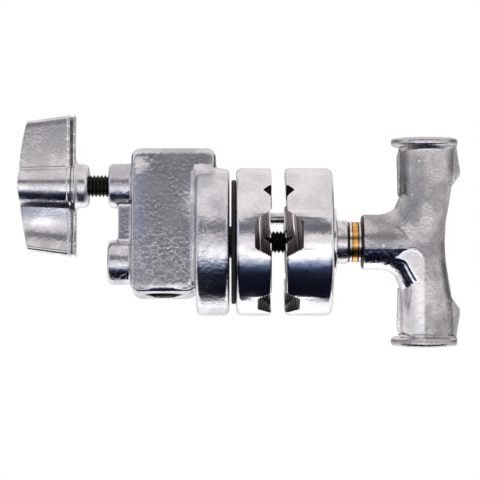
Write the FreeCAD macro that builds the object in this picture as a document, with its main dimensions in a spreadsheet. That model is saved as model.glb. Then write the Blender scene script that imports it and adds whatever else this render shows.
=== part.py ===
import FreeCAD, Part
import os
import Sketcher
from FreeCAD import Placement, Rotation, Vector

# Grip head for a light stand. A cast body takes the stand's spigot in a vertical socket, and a
# threaded stud carries two grooved round jaws that a T-handle squeezes together on a rod.
# +X runs along the stud towards the T-handle and +Z up the socket. The origin is the point where
# the socket's axis crosses the stud's axis.

doc = FreeCAD.newDocument("grip_head")
sheet = doc.addObject("Spreadsheet::Sheet", "sizes")

# All sizes are in millimetres and all angles in degrees.
driving_sizes = {
    # cast body
    "socket_diameter": 16.0, "block_width": 28.0, "block_depth": 27.0, "block_height": 62.7,
    "block_rise": 7.85, "block_rounding": 4.0, "block_edge_rounding": 3.0,
    "shoulder_reach": 8.4, "shoulder_drop": 16.0,
    "disc_diameter": 63.5, "disc_thickness": 14.1, "disc_rounding": 2.2,
    "boss_diameter": 19.3, "boss_length": 10.1, "boss_spacing": 33.5, "boss_rounding": 1.6,
    "rib_width": 9.0, "rib_reach": 5.8,
    # fits
    "running_gap": 0.05, "stud_hole_gap": 0.6, "press_chamfer": 0.5,
    # threaded stud and what carries the inner jaw
    "thread_diameter": 9.525, "socket_wall": 1.4, "stud_length": 94.6,
    "set_screw_diameter": 4.0, "set_screw_recess": 0.75, "set_screw_inset": 2.3,
    "bush_wall": 2.0, "bush_seat": 10.0, "bush_reach": 11.9,
    "float_gap": 0.9, "friction_diameter": 53.6, "friction_thickness": 2.0,
    # jaws
    "inner_jaw_thickness": 15.0, "outer_jaw_thickness": 20.0, "jaw_gap": 6.1,
    "jaw_back_rounding": 2.2, "jaw_face_rounding": 1.2,
    "jaw_boss_diameter": 29.3, "jaw_boss_height": 2.0,
    "pin_diameter": 5.3, "pin_back": 21.6, "pin_up": 13.85, "pin_seat": 10.0, "pin_reach": 12.0,
    "pin_hole_depth": 18.4, "jaw_bush_length": 13.0,
    # rod grooves: the angle is that of the groove's offset, up from the horizontal at the front
    "tooth_pitch": 1.03, "tooth_height": 0.45, "groove_angle": 60.7,
    "large_offset": 13.8, "large_width": 17.4, "large_floor": 9.8, "large_depth": 7.1,
    "medium_offset": 18.5, "medium_width": 12.6, "medium_floor": 6.4, "medium_depth": 5.9,
    "small_offset": 10.9, "small_width": 7.2, "small_floor": 0.6, "small_depth": 3.4,
    "small_angle": -35.0,
    # thrust bearing between the outer jaw and the handle
    "collar_step": 0.65, "collar_length": 5.0, "race_wall": 3.54, "race_thickness": 1.9,
    "outer_race_thickness": 1.6, "race_hole_gap": 0.4, "roller_diameter": 2.4,
    "roller_length": 2.4, "cage_thickness": 2.0,
    # T-handle
    "hub_diameter": 23.9, "hub_length": 7.4, "hub_rounding": 1.0, "bar_standoff": 16.0, "bar_span": 90.1,
    "bar_waist": 20.1, "bar_bulge": 26.8, "bar_bulge_height": 29.7, "bar_end_width": 25.2,
    "bar_depth": 21.0, "bar_waist_depth": 18.9, "web_depth": 17.0, "web_radius": 9.0,
    "rim_diameter": 28.8, "rim_height": 4.3, "rim_rounding": 1.2, "flare_height": 6.0,
    "rim_inset": 3.2, "insert_wall": 2.7, "insert_length": 18.0, "stud_room": 7.2,
    "lock_pin_diameter": 3.0, "lock_pin_wall": 0.7, "lock_pin_place": 5.0,
    "handle_lean": 9.0,
    # wing knob and its screw
    "knob_gap": 8.7, "knob_boss_length": 5.6, "knob_plate": 3.3, "knob_length": 24.8,
    "knob_span": 61.0, "knob_end_width": 13.5, "knob_end_slope": 2.5, "blank_margin": 5.0, "knob_hub_diameter": 18.8,
    "wing_thickness": 6.5, "wing_offset": 3.4, "plate_margin": 0.9,
    "knob_stud_seat": 19.6, "thread_insert_wall": 1.45, "thread_insert_length": 14.0,
    "tip_diameter": 8.0, "tip_length": 3.6, "tip_shank_diameter": 4.0, "tip_shank_length": 4.0,
    "tip_setback": 0.3, "knob_pin_diameter": 3.0,
}
# Places along X that follow from the sizes above, each written once.
derived_places = {
    "block_face": "block_width / 2",
    "disc_face": "block_face + disc_thickness",
    "upper_boss_height": "block_rise + boss_spacing / 2",
    "lower_boss_height": "block_rise - boss_spacing / 2",
    "boss_face": "-block_face - boss_length",
    "stud_start": "socket_diameter / 2 + socket_wall",
    "stud_hole": "thread_diameter + 2 * stud_hole_gap",
    "running_hole": "thread_diameter + 2 * running_gap",
    "set_screw_place": "stud_start + set_screw_inset",
    "set_screw_length": "(block_depth - thread_diameter) / 2 - set_screw_recess",
    "bush_diameter": "running_hole + 2 * bush_wall",
    "thread_insert_diameter": "running_hole + 2 * thread_insert_wall",
    "insert_diameter": "running_hole + 2 * insert_wall",
    "bush_start": "disc_face - bush_seat",
    "bush_end": "disc_face + bush_reach",
    "inner_jaw_back": "disc_face + float_gap + friction_thickness",
    "inner_jaw_face": "inner_jaw_back + inner_jaw_thickness",
    "outer_jaw_face": "inner_jaw_face + jaw_gap",
    "outer_jaw_back": "outer_jaw_face + outer_jaw_thickness",
    "jaw_boss_face": "outer_jaw_back + jaw_boss_height",
    "inner_race_start": "jaw_boss_face + collar_length",
    "roller_start": "inner_race_start + race_thickness",
    "outer_race_start": "roller_start + roller_diameter",
    "hub_face": "outer_race_start + outer_race_thickness",
    "race_hole": "thread_diameter + 2 * race_hole_gap",
    "race_diameter": "race_hole + 2 * race_wall",
    "roller_circle": "race_hole + race_wall",
    "collar_diameter": "race_diameter + 2 * collar_step",
    "lock_pin_start": "running_hole / 2 + lock_pin_wall",
    "bar_edge": "hub_face + bar_standoff",
    "rim_centre": "bar_edge - rim_inset + rim_diameter / 2",
    "knob_boss_face": "boss_face - knob_gap",
    "knob_plate_face": "knob_boss_face - knob_boss_length",
    "knob_crown": "knob_plate_face - knob_length",
    "tip_face": "-socket_diameter / 2 - tip_setback",
    "tip_back": "tip_face - tip_length",
    "knob_stud_start": "knob_plate_face - knob_stud_seat + knob_boss_length",
}
for row, (alias, size) in enumerate(driving_sizes.items(), start=1):
    sheet.set(f"A{row}", alias)
    sheet.set(f"B{row}", str(size))
    sheet.setAlias(f"B{row}", alias)
for row, (alias, formula) in enumerate(derived_places.items(), start=len(driving_sizes) + 1):
    sheet.set(f"A{row}", alias)
    sheet.set(f"B{row}", "=" + formula)
    sheet.setAlias(f"B{row}", alias)
doc.recompute()

aliases = {*driving_sizes, *derived_places}
along_x = Rotation(Vector(0, 1, 0), 90)
along_y = Rotation(Vector(1, 0, 0), -90)
along_z = Rotation()
roller_count = 10
teeth_per_wall = 6


def bound(text):
    """Give an expression in which every size name points at the sheet."""
    words, word = [], ""
    for character in str(text) + " ":
        if character.isalnum() or character == "_":
            word += character
            continue
        words.append(f"sizes.{word}" if word in aliases else word)
        words.append(character)
        word = ""
    return "".join(words).strip()


def value(text):
    """Work out an expression on the sheet's sizes as a number."""
    return float(sheet.evalExpression(bound(text)))


def place(item, x="0", y="0", z="0", turn=along_z):
    item.Placement = Placement(Vector(), turn)
    for axis, text in zip("xyz", (x, y, z)):
        item.setExpression(f"Placement.Base.{axis}", bound(text))
    return item


def leaned(item):
    """Turn a finished piece of the handle about the stud to the angle it rests at."""
    item.Placement = Placement(Vector(), Rotation(Vector(1, 0, 0), value("handle_lean")))
    item.setExpression("Placement.Rotation.Angle", bound("handle_lean"))
    return item


def cylinder(name, diameter, length, x="0", y="0", z="0", turn=along_x):
    item = doc.addObject("Part::Cylinder", name)
    item.setExpression("Radius", bound(f"({diameter}) / 2"))
    item.setExpression("Height", bound(length))
    return place(item, x, y, z, turn)


def cone(name, start_diameter, end_diameter, length, x, y, z, turn):
    item = doc.addObject("Part::Cone", name)
    item.setExpression("Radius1", bound(f"({start_diameter}) / 2"))
    item.setExpression("Radius2", bound(f"({end_diameter}) / 2"))
    item.setExpression("Height", bound(length))
    return place(item, x, y, z, turn)


def box(name, size_x, size_y, size_z, x, y, z):
    """A box from its lowest corner."""
    item = doc.addObject("Part::Box", name)
    for side, text in zip(("Length", "Width", "Height"), (size_x, size_y, size_z)):
        item.setExpression(side, bound(text))
    return place(item, x, y, z)


def fused(name, pieces):
    item = doc.addObject("Part::MultiFuse", name)
    item.Shapes = pieces
    return item


def cut(name, base, tools):
    item = doc.addObject("Part::Cut", name)
    item.Base = base
    item.Tool = tools[0] if len(tools) == 1 else fused(name + "_tools", tools)
    return item


def rounded(name, base, radius, chosen=lambda edge: True):
    """Round the chosen edges of a piece."""
    doc.recompute()
    item = doc.addObject("Part::Fillet", name)
    item.Base = base
    edges = enumerate(base.Shape.Edges, start=1)
    size = value(radius)
    item.Edges = [(index, size, size) for index, edge in edges if chosen(edge)]
    return item


def bevelled(name, base, size_text, chosen=lambda edge: True):
    """Chamfer the chosen edges of a piece."""
    doc.recompute()
    item = doc.addObject("Part::Chamfer", name)
    item.Base = base
    size = value(size_text)
    edges = enumerate(base.Shape.Edges, start=1)
    item.Edges = [(index, size, size) for index, edge in edges if chosen(edge)]
    return item


def is_circle(edge):
    return edge.Curve.TypeId == "Part::GeomCircle"


def along_depth(edge):
    return not is_circle(edge) and abs(edge.tangentAt(edge.FirstParameter).y) > 0.99


def on_front_or_back(edge):
    return abs(abs(edge.CenterOfMass.y) - value("block_depth / 2")) < 0.01


def circle_at(x_text, diameter_text):
    """Pick a round edge about an X axis by its place and size."""
    x, radius = value(x_text), value(diameter_text) / 2

    def chosen(edge):
        round_edge = is_circle(edge)
        return round_edge and abs(edge.Curve.Radius - radius) < 0.01 and abs(edge.Curve.Center.x - x) < 0.01
    return chosen


def part_body(name):
    item = doc.addObject("PartDesign::Body", name)
    return item


def origin_plane(body, role):
    return next(plane for plane in body.Origin.OriginFeatures if plane.Role == role)


def outline(body, name, role, corners, arcs=None, tilt=None):
    """Draw a closed outline whose corners are bound to the sheet; arcs bulge the named sides."""
    sketch = body.newObject("Sketcher::SketchObject", name)
    sketch.AttachmentSupport = (origin_plane(body, role), "")
    sketch.MapMode = "FlatFace"
    if tilt is not None:
        sketch.AttachmentOffset = Placement(Vector(), Rotation(Vector(1, 0, 0), value(tilt)))
        sketch.setExpression("AttachmentOffset.Rotation.Angle", bound(tilt))
    points = [Vector(value(x), value(y), 0) for x, y in corners]
    count = len(points)
    for index in range(count):
        start, end = points[index], points[(index + 1) % count]
        if arcs and index in arcs:
            middle = (start + end) / 2
            normal = Vector(start.y - end.y, end.x - start.x, 0).normalize()
            bulge = middle + normal * value(arcs[index])
            sketch.addGeometry(Part.Arc(start, bulge, end), False)
        else:
            sketch.addGeometry(Part.LineSegment(start, end), False)
    starts = []
    for index in range(count):
        curve = sketch.Geometry[index]
        whole_start = curve.StartPoint if hasattr(curve, "StartPoint") else curve.value(0)
        starts.append(1 if (whole_start - points[index]).Length < 1e-6 else 2)
    for index in range(count):
        after = (index + 1) % count
        sketch.addConstraint(Sketcher.Constraint("Coincident", index, 3 - starts[index], after, starts[after]))
    for index, (x, y) in enumerate(corners):
        for kind, text in (("DistanceX", x), ("DistanceY", y)):
            number = sketch.addConstraint(
                Sketcher.Constraint(kind, -1, 1, index, starts[index], value(text)))
            sketch.setExpression(f"Constraints[{number}]", bound(text))
    for index, text in (arcs or {}).items():
        number = sketch.addConstraint(Sketcher.Constraint("Radius", index, sketch.Geometry[index].Radius))
        start, end = corners[index], corners[(index + 1) % count]
        across = f"(pow(({end[0]}) - ({start[0]}); 2) + pow(({end[1]}) - ({start[1]}); 2)) / 4"
        sketch.setExpression(
            f"Constraints[{number}]", bound(f"(({across}) + pow({text}; 2)) / (2 * abs({text}))"))
    return sketch


def turned(body, name, corners, arcs=None):
    """Turn an outline in the XZ plane about the X axis."""
    profile = outline(body, name + "_profile", "XZ_Plane", corners, arcs)
    item = body.newObject("PartDesign::Revolution", name)
    item.Profile = profile
    item.ReferenceAxis = (profile, ["H_Axis"])
    item.Angle = 360
    profile.Visibility = False
    doc.recompute()
    return item


def ring(name, outer, inner, start, length, chamfer=None):
    """A round ring about the stud's axis, turned from one outline."""
    body = part_body(name)
    high, low = f"({outer}) / 2", f"({inner}) / 2"
    end = f"{start} + {length}"
    if chamfer is None:
        corners = [(start, low), (end, low), (end, high), (start, high)]
    else:
        corners = [(start, low), (end, low), (end, f"{high} - {chamfer}"), (f"{end} - {chamfer}", high),
                   (f"{start} + {chamfer}", high), (start, f"{high} - {chamfer}")]
    turned(body, name + "_turning", corners)
    return body


# ---- cast body ---------------------------------------------------------------------------------
def make_body_casting():
    half, reach = "block_face", "block_face + shoulder_reach"
    bottom = "block_rise - block_height / 2"
    top = "block_rise + block_height / 2"
    block = part_body("block")
    profile = outline(block, "block_outline", "XZ_Plane", [
        (f"-{half}", bottom), (half, bottom), (half, f"{top} - shoulder_drop"),
        (reach, f"{top} - shoulder_drop"), (reach, top), (f"-{half}", top)])
    pad = block.newObject("PartDesign::Pad", "block_pad")
    pad.Profile = profile
    pad.SideType = "Symmetric"
    pad.setExpression("Length", bound("block_depth"))
    block = rounded("block_corners", block, "block_rounding", along_depth)
    block = rounded("block_rounded", block, "block_edge_rounding", on_front_or_back)
    disc = cylinder("body_disc", "disc_diameter", "disc_thickness", half)
    disc = rounded("body_disc_rounded", disc, "disc_rounding", is_circle)
    upper = cylinder("upper_boss", "boss_diameter", "boss_length + block_rounding * 2", "boss_face",
                     z="upper_boss_height")
    upper = rounded("upper_boss_rounded", upper, "boss_rounding", circle_at("boss_face", "boss_diameter"))
    lower = cylinder("lower_boss", "boss_diameter", "boss_length + block_rounding * 2", "boss_face",
                     z="lower_boss_height")
    lower = rounded("lower_boss_rounded", lower, "boss_rounding", circle_at("boss_face", "boss_diameter"))
    rib = box("boss_rib", "rib_reach + block_rounding * 2", "rib_width", "boss_spacing",
              f"-{half} - rib_reach", "-rib_width / 2", "lower_boss_height")
    solid = fused("casting_solid", [block, disc, upper, lower, rib])

    socket = cylinder("socket_cut", "socket_diameter", "block_height + 2 * block_rounding",
                      z=f"{bottom} - block_rounding", turn=along_z)
    insert_seat = cylinder("thread_insert_seat", "thread_insert_diameter", "thread_insert_length",
                           "boss_face", z="upper_boss_height")
    screw_way = cylinder("screw_way", "stud_hole", "-boss_face", "boss_face", z="upper_boss_height")
    stud_hole = cylinder("stud_seat", "thread_diameter", "disc_face - stud_start", "stud_start")
    bush_seat = cylinder("bush_seat_cut", "bush_diameter", "bush_seat", "bush_start")
    screw_hole = cylinder("set_screw_hole", "set_screw_diameter", "block_depth / 2 + block_rounding",
                          "set_screw_place", turn=along_y)
    cut("body_casting", solid, [socket, insert_seat, screw_way, stud_hole, bush_seat, screw_hole])


def make_stud_parts():
    ring_start = "stud_start"
    body = part_body("main_stud")
    radius, end = "thread_diameter / 2", "stud_start + stud_length"
    turned(body, "main_stud_turning", [
        (ring_start, "0"), (end, "0"), (end, f"{radius} - press_chamfer"),
        (f"{end} - press_chamfer", radius), (ring_start, radius)])
    cylinder("stud_set_screw", "set_screw_diameter", "set_screw_length",
             "set_screw_place", "thread_diameter / 2", turn=along_y)
    ring("pivot_bush", "bush_diameter", "running_hole", "bush_start", "bush_seat + bush_reach")
    ring("friction_disc", "friction_diameter", "bush_diameter + 2 * running_gap",
         "disc_face + float_gap", "friction_thickness", "press_chamfer")


# ---- jaws --------------------------------------------------------------------------------------
def groove_corners(kind, face, inward):
    """Corners of one groove's section: teeth step down each slanted wall to a flat floor."""
    middle, depth = f"{kind}_offset", f"{kind}_depth"
    half, floor = f"{kind}_width / 2", f"{kind}_floor / 2"
    proud = "jaw_gap / 2"
    toothed = kind != "small"
    wall = []
    if toothed:
        steps = teeth_per_wall if kind == "large" else teeth_per_wall - 1
        for step in range(steps):
            crest = f"tooth_pitch * {step}"
            slope = f"(({half}) - ({floor})) / {depth}"
            root = f"tooth_pitch * ({step} + 0.45)"
            wall.append((crest, f"{half} - {slope} * {crest}"))
            wall.append((root, f"{half} - {slope} * {root} + tooth_height"))
    else:
        wall.append(("0", half))
    wall.append((depth, floor))
    side = "+" if inward > 0 else "-"
    outer = "-" if inward > 0 else "+"
    upper = [(f"{face} {side} ({down})", f"{middle} + ({across})") for down, across in wall]
    lower = [(f"{face} {side} ({down})", f"{middle} - ({across})") for down, across in reversed(wall)]
    first = (f"{face} {outer} {proud}", f"{middle} + {half}")
    last = (f"{face} {outer} {proud}", f"{middle} - {half}")
    return [first, *upper, *lower, last]


def cut_groove(body, kind, face, inward, angle):
    profile = outline(body, f"{body.Name}_{kind}_section", "XZ_Plane",
                      groove_corners(kind, face, inward), tilt=f"90 - ({angle})")
    doc.recompute()
    before = body.Shape.Volume
    groove = body.newObject("PartDesign::Pocket", f"{body.Name}_{kind}_groove")
    groove.Profile = profile
    groove.SideType = "Symmetric"
    groove.setExpression("Length", bound("disc_diameter * 2"))
    profile.Visibility = False
    doc.recompute()
    if not body.Shape.Volume < before:
        raise ValueError(f"{groove.Name} cuts nothing")


def jaw_grooves(body, face, inward):
    cut_groove(body, "large", face, inward, "groove_angle")
    cut_groove(body, "medium", face, inward, "groove_angle - 180")
    cut_groove(body, "small", face, inward, "small_angle")


def quarter_bulge(size):
    return f"{size} * (1 - sqrt(2) / 2)"


def make_inner_jaw():
    body = part_body("inner_jaw")
    radius = "disc_diameter / 2"
    bush_hole = "bush_diameter / 2 + running_gap"
    seat_end = "bush_end + running_gap * 2"
    corners = [
        ("inner_jaw_back", bush_hole), (seat_end, bush_hole), (seat_end, "stud_hole / 2"),
        ("inner_jaw_face", "stud_hole / 2"),
        ("inner_jaw_face", f"{radius} - jaw_face_rounding"),
        ("inner_jaw_face - jaw_face_rounding", radius),
        ("inner_jaw_back + jaw_back_rounding", radius),
        ("inner_jaw_back", f"{radius} - jaw_back_rounding")]
    arcs = {4: f"-({quarter_bulge('jaw_face_rounding')})", 6: f"-({quarter_bulge('jaw_back_rounding')})"}
    turned(body, "inner_jaw_turning", corners, arcs)
    jaw_grooves(body, "inner_jaw_face", -1)
    drill(body, "inner_pin_hole", "inner_jaw_face", "pin_diameter", "pin_seat", -1)


def make_outer_jaw():
    body = part_body("outer_jaw")
    radius, boss = "disc_diameter / 2", "jaw_boss_diameter / 2"
    bush_start = "jaw_boss_face - jaw_bush_length"
    corners = [
        ("outer_jaw_face", "stud_hole / 2"), (bush_start, "stud_hole / 2"),
        (bush_start, "bush_diameter / 2"), ("jaw_boss_face", "bush_diameter / 2"),
        ("jaw_boss_face", f"{boss} - press_chamfer"), ("jaw_boss_face - press_chamfer", boss),
        ("outer_jaw_back", boss),
        ("outer_jaw_back", f"{radius} - jaw_back_rounding"),
        ("outer_jaw_back - jaw_back_rounding", radius),
        ("outer_jaw_face + jaw_face_rounding", radius),
        ("outer_jaw_face", f"{radius} - jaw_face_rounding")]
    arcs = {7: f"-({quarter_bulge('jaw_back_rounding')})", 9: f"-({quarter_bulge('jaw_face_rounding')})"}
    turned(body, "outer_jaw_turning", corners, arcs)
    jaw_grooves(body, "outer_jaw_face", 1)
    drill(body, "outer_pin_hole", "outer_jaw_face", "pin_diameter + 2 * running_gap", "pin_hole_depth", 1)


def drill(body, name, face, diameter, depth, inward):
    """Drill the guide pin's hole into a jaw from its gripping face."""
    profile = body.newObject("Sketcher::SketchObject", name + "_circle")
    profile.AttachmentSupport = (origin_plane(body, "YZ_Plane"), "")
    profile.MapMode = "FlatFace"
    profile.setExpression("AttachmentOffset.Base.z", bound(face))
    profile.addGeometry(Part.Circle(Vector(value("pin_back"), value("pin_up"), 0), Vector(0, 0, 1),
                                    value(f"({diameter}) / 2")), False)
    limits = (("DistanceX", "pin_back"), ("DistanceY", "pin_up"))
    for kind, text in limits:
        number = profile.addConstraint(Sketcher.Constraint(kind, -1, 1, 0, 3, value(text)))
        profile.setExpression(f"Constraints[{number}]", bound(text))
    number = profile.addConstraint(Sketcher.Constraint("Diameter", 0, value(diameter)))
    profile.setExpression(f"Constraints[{number}]", bound(diameter))
    doc.recompute()
    before = body.Shape.Volume
    hole = body.newObject("PartDesign::Pocket", name)
    hole.Profile = profile
    hole.setExpression("Length", bound(depth))
    hole.Reversed = inward > 0
    profile.Visibility = False
    doc.recompute()
    if not body.Shape.Volume < before:
        raise ValueError(f"{name} cuts nothing")


def make_jaw_parts():
    make_inner_jaw()
    make_outer_jaw()
    ring("outer_jaw_bush", "bush_diameter", "running_hole",
         "jaw_boss_face - jaw_bush_length", "jaw_bush_length")
    pin = cylinder("guide_pin_blank", "pin_diameter", "pin_seat + jaw_gap + pin_reach",
                   "inner_jaw_face - pin_seat", "pin_back", "pin_up")
    bevelled("guide_pin", pin, "press_chamfer", is_circle)


# ---- thrust bearing ----------------------------------------------------------------------------
def roller_set(name, diameter, length):
    """Rollers that lie like spokes about the stud's axis."""
    rollers = []
    for index in range(roller_count):
        turn = 360 / roller_count * index
        item = doc.addObject("Part::Cylinder", f"{name}_{index}")
        item.setExpression("Radius", bound(f"({diameter}) / 2"))
        item.setExpression("Height", bound(length))
        start = f"(roller_circle - ({length})) / 2"
        spoke = Rotation(Vector(1, 0, 0), turn)
        place(item, "roller_start + roller_diameter / 2", f"-sin({turn} deg) * ({start})",
              f"cos({turn} deg) * ({start})", spoke)
        rollers.append(item)
    return rollers


def make_thrust_parts():
    ring("collar_spacer", "collar_diameter", "race_hole", "jaw_boss_face", "collar_length", "press_chamfer")
    ring("inner_race", "race_diameter", "race_hole", "inner_race_start", "race_thickness")
    ring("outer_race", "race_diameter", "race_hole", "outer_race_start", "outer_race_thickness")
    rollers = doc.addObject("Part::Compound", "bearing_rollers")
    rollers.Links = roller_set("roller", "roller_diameter", "roller_length")
    blank = ring("cage_blank", "race_diameter", "race_hole",
                 "roller_start + (roller_diameter - cage_thickness) / 2", "cage_thickness")
    pockets = roller_set("pocket", "roller_diameter + 2 * running_gap",
                         "roller_length + 4 * running_gap")
    cut("bearing_cage", blank, pockets)


# ---- T-handle ----------------------------------------------------------------------------------
def bar_section(name, height, width, depth):
    """One oval section of the bar, with its near edge in line with the others."""
    item = doc.addObject("Part::Ellipse", name)
    item.setExpression("MajorRadius", bound(f"({width}) / 2"))
    item.setExpression("MinorRadius", bound(f"({depth}) / 2"))
    return place(item, f"bar_edge + ({width}) / 2", "0", height)


def make_t_handle():
    hub = cylinder("handle_hub", "hub_diameter", "bar_standoff + bar_waist / 2", "hub_face")
    hub = rounded("handle_hub_rounded", hub, "hub_rounding", circle_at("hub_face", "hub_diameter"))
    web_start, reach = "hub_face + hub_length", "bar_standoff - hub_length + bar_waist / 4"
    web = box("handle_web", reach, "web_depth", "hub_diameter + 2 * web_radius",
              web_start, "-web_depth / 2", "-hub_diameter / 2 - web_radius")
    hollows = [cylinder(f"web_hollow_{name}", "2 * web_radius", "web_depth", web_start,
                        "-web_depth / 2", f"{sign}(hub_diameter / 2 + web_radius)", along_y)
               for name, sign in (("upper", ""), ("lower", "-"))]
    web = cut("handle_web_curved", web, hollows)
    end = "bar_span / 2 - rim_height"
    heights = (f"-({end})", "-bar_bulge_height", "0", "bar_bulge_height", end)
    widths = ("bar_end_width", "bar_bulge", "bar_waist", "bar_bulge", "bar_end_width")
    names = ("lower_end", "lower_bulge", "waist", "upper_bulge", "upper_end")
    depths = ("bar_depth", "bar_depth", "bar_waist_depth", "bar_depth", "bar_depth")
    bar = doc.addObject("Part::Loft", "handle_bar")
    bar.Sections = [bar_section("bar_" + name, height, width, depth)
                    for name, height, width, depth in zip(names, heights, widths, depths)]
    bar.Solid = True
    rims = []
    for name, sign, direction in (("upper", "", along_z), ("lower", "-", Rotation(Vector(1, 0, 0), 180))):
        rim = cylinder(f"{name}_rim", "rim_diameter", "rim_height", "rim_centre", z=f"{sign}({end})",
                       turn=direction)
        rims.append(rounded(f"{name}_rim_rounded", rim, "rim_rounding", is_circle))
        rims.append(cone(f"{name}_flare", "bar_depth", "rim_diameter - rim_rounding", "flare_height",
                         "rim_centre", "0", f"{sign}({end} + rim_rounding - flare_height)", direction))
    solid = fused("handle_solid", [hub, web, bar, *rims])
    insert_seat = cylinder("handle_insert_seat", "insert_diameter", "insert_length", "hub_face")
    room = cylinder("handle_stud_room", "stud_hole", "stud_start + stud_length + stud_room - hub_face",
                    "hub_face")
    pin_hole = cylinder("handle_pin_hole", "lock_pin_diameter", "hub_diameter",
                        "hub_face + lock_pin_place", "lock_pin_start", turn=along_y)
    leaned(cut("t_handle", solid, [insert_seat, room, pin_hole]))


def make_handle_parts():
    make_t_handle()
    sleeve = ring("handle_insert_blank", "insert_diameter", "running_hole", "hub_face", "insert_length")
    pin_hole = cylinder("insert_pin_hole", "lock_pin_diameter", "hub_diameter",
                        "hub_face + lock_pin_place", "lock_pin_start", turn=along_y)
    leaned(cut("handle_insert", sleeve, [pin_hole]))
    pin = cylinder("lock_pin_blank", "lock_pin_diameter",
                   "hub_diameter / 2 - lock_pin_start - press_chamfer",
                   "hub_face + lock_pin_place", "lock_pin_start", turn=along_y)
    leaned(bevelled("handle_lock_pin", pin, "press_chamfer", is_circle))


# ---- wing knob ---------------------------------------------------------------------------------
def knob_outline(name):
    """The knob's side outline: flat towards the body, bowed on the far side."""
    body = part_body(name)
    plate, shallow = "knob_plate_face", "knob_plate_face - knob_end_width"
    high, lower_high = "knob_span / 2", "knob_span / 2 - knob_end_slope"
    corners = [(plate, f"-({high})"), (plate, high), (shallow, lower_high), (shallow, f"-({lower_high})")]
    profile = outline(body, name + "_section", "XZ_Plane", corners, {2: "-(knob_length - knob_end_width)"})
    pad = body.newObject("PartDesign::Pad", name + "_pad")
    pad.Profile = profile
    pad.SideType = "Symmetric"
    pad.setExpression("Length", bound("knob_span"))
    profile.Visibility = False
    return body


def wing_blank(name, start, length, grow):
    """Hub and two wings as one prism along X; the wings stand off the axis on opposite sides."""
    span, thick = "knob_span / 2 + blank_margin", f"wing_thickness + 2 * {grow}"
    hub = cylinder(name + "_hub", f"knob_hub_diameter + 2 * {grow}", length, start)
    upper = box(name + "_upper", length, thick, span, start, f"-wing_offset - ({thick}) / 2", "0")
    lower = box(name + "_lower", length, thick, span, start, f"wing_offset - ({thick}) / 2", f"-({span})")
    return fused(name, [hub, upper, lower])


def make_wing_knob():
    wings = wing_blank("wing_prism", "knob_crown - blank_margin", "knob_length + blank_margin", "0")
    side = knob_outline("knob_side")
    common = doc.addObject("Part::MultiCommon", "wing_solid")
    common.Shapes = [wings, side]
    plate = wing_blank("plate_prism", "knob_plate_face - knob_plate", "knob_plate", "plate_margin")
    frame = box("plate_frame", "knob_plate", "knob_span", "knob_span", "knob_plate_face - knob_plate",
                "-knob_span / 2", "-knob_span / 2")
    plate_solid = doc.addObject("Part::MultiCommon", "plate_solid")
    plate_solid.Shapes = [plate, frame]
    boss = cylinder("knob_boss", "boss_diameter", "knob_boss_length + knob_plate",
                    "knob_plate_face - knob_plate")
    boss = rounded("knob_boss_rounded", boss, "boss_rounding", circle_at("knob_boss_face", "boss_diameter"))
    solid = fused("knob_solid", [common, plate_solid, boss])
    seat = cylinder("knob_stud_seat_cut", "thread_diameter", "knob_stud_seat", "knob_stud_start")
    pin_hole = cylinder("knob_pin_hole", "knob_pin_diameter", "knob_hub_diameter",
                        "knob_plate_face - knob_plate * 2", "-knob_hub_diameter / 2", turn=along_y)
    knob = cut("wing_knob", solid, [seat, pin_hole])
    place(knob, z="upper_boss_height")


def make_knob_screw():
    body = part_body("knob_stud")
    radius, hole = "thread_diameter / 2", "tip_shank_diameter / 2 + running_gap"
    hole_end = "tip_back - tip_shank_length - running_gap * 2"
    turned(body, "knob_stud_turning", [
        ("knob_stud_start", "0"), (hole_end, "0"), (hole_end, hole), ("tip_back", hole),
        ("tip_back", f"{radius} - press_chamfer"), ("tip_back - press_chamfer", radius),
        ("knob_stud_start", radius)])
    pin_hole = cylinder("knob_stud_pin_hole", "knob_pin_diameter", "knob_hub_diameter",
                        "knob_plate_face - knob_plate * 2", "-knob_hub_diameter / 2", turn=along_y)
    stud = cut("knob_stud_drilled", body, [pin_hole])
    place(stud, z="upper_boss_height")
    cylinder("knob_lock_pin", "knob_pin_diameter", "knob_hub_diameter - 2 * press_chamfer",
             "knob_plate_face - knob_plate * 2", "-knob_hub_diameter / 2 + press_chamfer",
             "upper_boss_height", along_y)
    head = cylinder("tip_head", "tip_diameter", "tip_length", "tip_back", z="upper_boss_height")
    shank = cylinder("tip_shank", "tip_shank_diameter", "tip_shank_length + tip_length / 2",
                     "tip_back - tip_shank_length", z="upper_boss_height")
    fused("pressure_tip", [head, shank])
    insert = ring("thread_insert", "thread_insert_diameter", "running_hole", "boss_face",
                  "thread_insert_length")
    place(insert, z="upper_boss_height")


make_body_casting()
make_stud_parts()
make_jaw_parts()
make_thrust_parts()
make_handle_parts()
make_wing_knob()
make_knob_screw()
doc.recompute()

# Each node's name, with the object that holds its finished shape.
nodes = {
    "body_casting": "body_casting", "main_stud": "main_stud", "stud_set_screw": "stud_set_screw",
    "pivot_bush": "pivot_bush", "friction_disc": "friction_disc", "inner_jaw": "inner_jaw",
    "guide_pin": "guide_pin", "outer_jaw": "outer_jaw", "outer_jaw_bush": "outer_jaw_bush",
    "collar_spacer": "collar_spacer", "inner_race": "inner_race", "bearing_cage": "bearing_cage",
    "bearing_rollers": "bearing_rollers", "outer_race": "outer_race", "t_handle": "t_handle",
    "handle_insert": "handle_insert", "handle_lock_pin": "handle_lock_pin",
    "wing_knob": "wing_knob", "knob_stud": "knob_stud_drilled", "knob_lock_pin": "knob_lock_pin",
    "pressure_tip": "pressure_tip", "thread_insert": "thread_insert",
}
for item in doc.Objects:
    if any(word in item.State for word in ("Invalid", "Error")):
        raise ValueError(f"{item.Name} failed: {item.State}")
os.makedirs("parts", exist_ok=True)
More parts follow.
